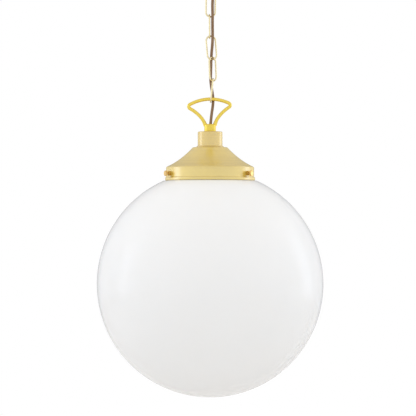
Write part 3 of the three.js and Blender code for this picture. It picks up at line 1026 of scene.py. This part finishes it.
def lampholder_cap():
    low, inside, ceiling = 212, 18.5, 229.5
    outline = [
        (inside, low),
        (HOLDER_RADIUS, low),
        (HOLDER_RADIUS, 222),
        *curve((HOLDER_RADIUS - 0.3, 225), (19, 231), (10.5, 233.5), 12),
        (9, 236.3),
        (NIPPLE_HOLE, 236.3),
        (NIPPLE_HOLE, ceiling),
        (13, ceiling),
        (inside, 222),
    ]
    return turned(rounded(outline, 0.5), 72)


def lampholder_skirt():
    low, high = 174, 211.7
    inside, flange = 18.7, 21.8
    outline = [
        (inside, low),
        (flange, low),
        (flange, low + 2.5),
        (HOLDER_RADIUS, low + 4),
        (HOLDER_RADIUS, high),
        (inside, high),
    ]
    fine = subdivided(rounded(outline, 0.5), 1.5)
    return turned(fine, 240, outer_only(knurl(40, 0.5, 182, 208), HOLDER_RADIUS - 0.1))


def screw_shell(wall_outer, low, high, top_radius, thread_depth):
    """A thin rolled shell with a round thread through its wall."""
    outline = [
        (wall_outer - SHELL_WALL, low),
        (wall_outer, low),
        (wall_outer, high),
        (top_radius, high),
        (top_radius, high - 0.6),
        (wall_outer - SHELL_WALL, high - 0.6),
    ]
    fine = subdivided(outline, 0.5)
    relief = thread(LAMP_PITCH, thread_depth, low + 1, high - 1.5)
    return turned(fine, 72, outer_only(relief, wall_outer - 0.6))


def lamp_cap():
    radius = 13.2
    inside = radius - SHELL_WALL
    outline = [
        (inside, 170),
        (radius, 170),
        (radius, 190.5),
        (9.8, 194.6),
        (5.5, 194.6),
        (5.5, 194),
        (9.4, 194),
        (inside, 190),
    ]
    fine = subdivided(outline, 0.5)
    return turned(fine, 72, outer_only(thread(LAMP_PITCH, 0.9, 173, 190.3), inside - 0.1))


def contact(points):
    return turned(rounded(points, 0.3), 40)


def lamp_envelope():
    bulb_z, bulb_radius, wall = 110, 30, 1
    neck_top, neck_radius = 184, 12.3
    outer_face = [
        *arc(0, bulb_z, bulb_radius, -90, 25, 40),
        *curve((25, 131), (13.5, 145), (neck_radius, 168), 20),
        (neck_radius, neck_top),
    ]
    outer_face[0] = (0, bulb_z - bulb_radius)
    inside = offset(outer_face, wall)[::-1]
    inside[-1] = (0, bulb_z - bulb_radius + wall)
    return turned([*outer_face, *inside], 72)


def make_fitting(materials):
    """Gallery, collar and loop, the lampholder in them, and what they carry."""
    spun, cast = materials["spun"], materials["cast"]
    black, wire, ceramic = materials["black"], materials["wire"], materials["ceramic"]
    insulator = turned(rounded([(2, 200), (18.3, 200), (18.3, 209), (15, 211), (2, 211)], 0.6), 72)
    shell = screw_shell(14.2, 177, 199.6, top_radius=8, thread_depth=0.3)
    spring = contact([(0, 196), (4, 196), (4, 196.8), (1.5, 197.4), (1.5, 206), (0, 206)])
    threaded_tube = nipple(231, BOSS_TOP_Z - 4)
    lock_nut = hex_nut(17, 236.8, SHOULDER_Z - SHEET_WALL - GAP)
    pieces = [
        ("loop_boss", loop_boss(), cast, "cast_brass", ("suspension_loop",)),
        ("loop_arms", loop_arms(), cast, "cast_brass", ("suspension_loop",)),
        ("fitting_nipple_threaded", threaded_tube, materials["thread"], "satin_brass", ("fitting_nipple",)),
        ("collar_spun", collar(), materials["collar"], "satin_brass", ("collar",)),
        ("gallery_spun", gallery(), spun, "satin_brass", ("gallery",)),
        ("gallery_nut_chamfered", lock_nut, materials["zinc"], "zinc_steel", ("gallery_nut",)),
        ("lampholder_cap_moulded", lampholder_cap(), black, "black_plastic", ("lampholder_cap",)),
        ("lampholder_skirt_ribbed", lampholder_skirt(), black, "black_plastic", ("lampholder_skirt",)),
        ("lampholder_insulator_glazed", insulator, ceramic, "ceramic", ("lampholder_insulator",)),
        ("lampholder_shell_rolled", shell, wire, "chain_brass", ("lampholder_shell",)),
        ("lampholder_contact_turned", spring, wire, "chain_brass", ("lampholder_contact",)),
    ]
    for name, shape, material, slot, replaces in pieces:
        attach(make_piece(name, on_fitting(shape), material, replaces), "fitting")
    for i, azimuth in enumerate(SCREW_AZIMUTHS):
        boss = on_fitting(point_outwards(screw_boss(), azimuth))
        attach(make_piece(f"screw_boss_{i + 1}", boss, materials["boss"]), "fitting")
        screw = on_fitting(point_outwards(thumb_screw(), azimuth))
        body = f"thumb_screw_{i + 1}"
        piece = make_piece(f"{body}_knurled", screw, materials["polished"], (body,))
        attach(piece, body)


def make_globe_and_lamp(materials):
    shell = make_piece("opal_globe", on_fitting(globe()), materials["opal"], ("glass_globe",))
    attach(shell, "globe")
    tip = contact([(0, 193.4), (4.9, 193.4), (4.9, 195), (2.5, 195.6), (0, 195.6)])
    pieces = [
        ("lamp_cap_threaded", lamp_cap(), materials["lamp_metal"], "lamp_metal", ("lamp_cap",)),
        ("lamp_contact_tip", tip, materials["lamp_metal"], "lamp_metal", ("lamp_contact",)),
        ("lamp_bulb", lamp_envelope(), materials["lamp_glass"], "lamp_glass", ("lamp_envelope",)),
    ]
    for name, shape, material, slot, replaces in pieces:
        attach(make_piece(name, on_fitting(shape), material, replaces), "lamp")


# ------------ CAD pieces that stay


def finish_cad_nodes(materials):
    finishes = {
        "mounting_plate": "zinc",
        "terminal_block": "white",
        "core_brown": "brown",
        "core_blue": "blue",
        "core_earth": "earth",
    }
    for name, finish in finishes.items():
        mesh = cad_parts[name].data
        mesh.materials.clear()
        mesh.materials.append(materials[finish])


# ------------ studio

FLOOR_Z = -2.3
FLOOR_RADIUS = 12
FLOOR_COLOUR = (0.84, 0.83, 0.81)
ROOM_FRONT = (0.92, 0.92, 0.92)
ROOM_SIDES = (0.98, 0.99, 1.01)
ROOM_BACK = (0.44, 0.44, 0.46)
ROOM_TOP = (0.88, 0.85, 0.81)
ROOM_BELOW = (0.77, 0.765, 0.74)
MATTE_LIGHT = 1.1  # what matt surfaces get, against what shows in gloss
PANELS = (  # azimuth from the front towards +X and half width in degrees, and brightness
    (-96, 9, 1.3),
    (113, 10, 1.1),
)
PANEL_TINT = (0.88, 0.95, 1.1)
PANEL_MIDDLE = 0.08  # of a panel, as the sine of its height above level
PANEL_HALF_HEIGHT = 0.46


def make_floor():
    """A plain pale floor far below, which a camera under it sees through."""
    angles = np.linspace(0, 2 * math.pi, 64, endpoint=False)
    mesh = bpy.data.meshes.new("floor")
    corners = [(FLOOR_RADIUS * math.cos(a), FLOOR_RADIUS * math.sin(a), FLOOR_Z) for a in angles]
    mesh.from_pydata(corners, [], [tuple(range(len(corners)))])
    material, tree, shader = start_material("pale_floor")
    shader.inputs["Base Color"].default_value = (*FLOOR_COLOUR, 1)
    shader.inputs["Roughness"].default_value = 0.8
    clear = node(tree, "BsdfTransparent")
    mix = node(tree, "MixShader")
    tree.links.new(node(tree, "NewGeometry").outputs["Backfacing"], mix.inputs[0])
    tree.links.new(shader.outputs[0], mix.inputs[1])
    tree.links.new(clear.outputs[0], mix.inputs[2])
    tree.links.new(mix.outputs[0], tree.nodes["Material Output"].inputs["Surface"])
    mesh.materials.append(material)
    floor = bpy.data.objects.new("floor", mesh)
    bpy.context.scene.collection.objects.link(floor)


def soft_panel(tree, parts, azimuth, half_width, brightness):
    """The light of a tall soft panel at the side of the room, fading out at its edges."""
    front = calculate(tree, "MULTIPLY", parts["Y"], -1)
    angle = calculate(tree, "ARCTAN2", parts["X"], front)
    light = brightness
    places = (
        (angle, math.radians(azimuth), math.radians(half_width)),
        (parts["Z"], PANEL_MIDDLE, PANEL_HALF_HEIGHT),
    )
    for value, middle, half_size in places:
        inputs = {
            "Value": calculate(tree, "ABSOLUTE", calculate(tree, "SUBTRACT", value, middle)),
            "From Min": 0.5 * half_size,
            "From Max": 1.5 * half_size,
            "To Min": 1,
            "To Max": 0,
        }
        inside = node(tree, "MapRange", inputs, interpolation_type="SMOOTHSTEP").outputs["Result"]
        light = calculate(tree, "MULTIPLY", inside, light)
    return light


def make_world():
    """A white surround for the camera, and a graded room with two panels for light."""
    world = bpy.data.worlds.new("studio")
    bpy.context.scene.world = world
    world.use_nodes = True
    tree = world.node_tree
    tree.nodes.clear()
    direction = node(tree, "TexCoord").outputs["Generated"]
    parts = node(tree, "SeparateXYZ", {"Vector": direction}).outputs
    depth = stretched(tree, parts["Y"], 0, 1, -0.95, 0.95)
    sideways = calculate(tree, "ABSOLUTE", parts["X"])
    front_to_back = blend_colours(tree, depth, ROOM_FRONT, ROOM_BACK)
    sides = stretched(tree, sideways, 0, 1, 0.15, 0.75)
    walls = blend_colours(tree, sides, front_to_back, ROOM_SIDES)
    high = stretched(tree, parts["Z"], 0, 1, 0.4, 0.95)
    under_ceiling = blend_colours(tree, high, walls, ROOM_TOP)
    low = stretched(tree, parts["Z"], 1, 0, -0.8, -0.15)
    room = blend_colours(tree, low, under_ceiling, ROOM_BELOW)
    both_panels = calculate(tree, "ADD", *(soft_panel(tree, parts, *panel) for panel in PANELS))
    white_light = combine(tree, both_panels, both_panels, both_panels)
    tinted = node(tree, "VectorMath", {0: white_light, 1: PANEL_TINT}, operation="MULTIPLY")
    lit = node(tree, "VectorMath", {0: room, 1: tinted.outputs[0]}, operation="ADD").outputs[0]
    ray = node(tree, "LightPath").outputs
    strength = stretched(tree, ray["Is Glossy Ray"], MATTE_LIGHT, 1, 0, 1)
    light = node(tree, "Background", {"Color": lit, "Strength": strength})
    white = node(tree, "Background", {"Color": (1, 1, 1, 1), "Strength": 1.0})
    mix = node(tree, "MixShader")
    tree.links.new(ray["Is Camera Ray"], mix.inputs[0])
    tree.links.new(light.outputs[0], mix.inputs[1])
    tree.links.new(white.outputs[0], mix.inputs[2])
    out = node(tree, "OutputWorld")
    tree.links.new(mix.outputs[0], out.inputs["Surface"])


def make_softbox(name, place, target, size, watts, colour):
    """A rectangle of soft light that shows neither to the camera nor in gloss."""
    lamp = bpy.data.lights.new(name, "AREA")
    lamp.shape = "RECTANGLE"
    lamp.size, lamp.size_y = size
    lamp.energy = watts
    lamp.color = colour
    softbox = bpy.data.objects.new(name, lamp)
    softbox.location = place
    away = [a - b for a, b in zip(place, target)]
    softbox.rotation_euler = Vector(away).to_track_quat("Z", "Y").to_euler()
    softbox.visible_camera = False
    softbox.visible_glossy = False
    bpy.context.scene.collection.objects.link(softbox)


def make_studio():
    make_floor()
    make_world()
    middle = (0, 0, GLOBE_Z * MM)
    make_softbox("front_fill", (0.3, -4.5, 0.4), middle, (3.5, 2.5), 20, (1, 0.99, 0.97))
    make_softbox("top_fill", (0, -0.4, 2.4), middle, (2.5, 2.5), 7, (1, 0.95, 0.88))


# ------------ the light

bpy.context.scene.view_settings.view_transform = "Standard"
make_camera()
all_materials = make_materials()
make_flex(all_materials["braid"])
make_chain(all_materials["chain"])
make_ceiling_end(all_materials)
make_fitting(all_materials)
make_globe_and_lamp(all_materials)
finish_cad_nodes(all_materials)
make_studio()
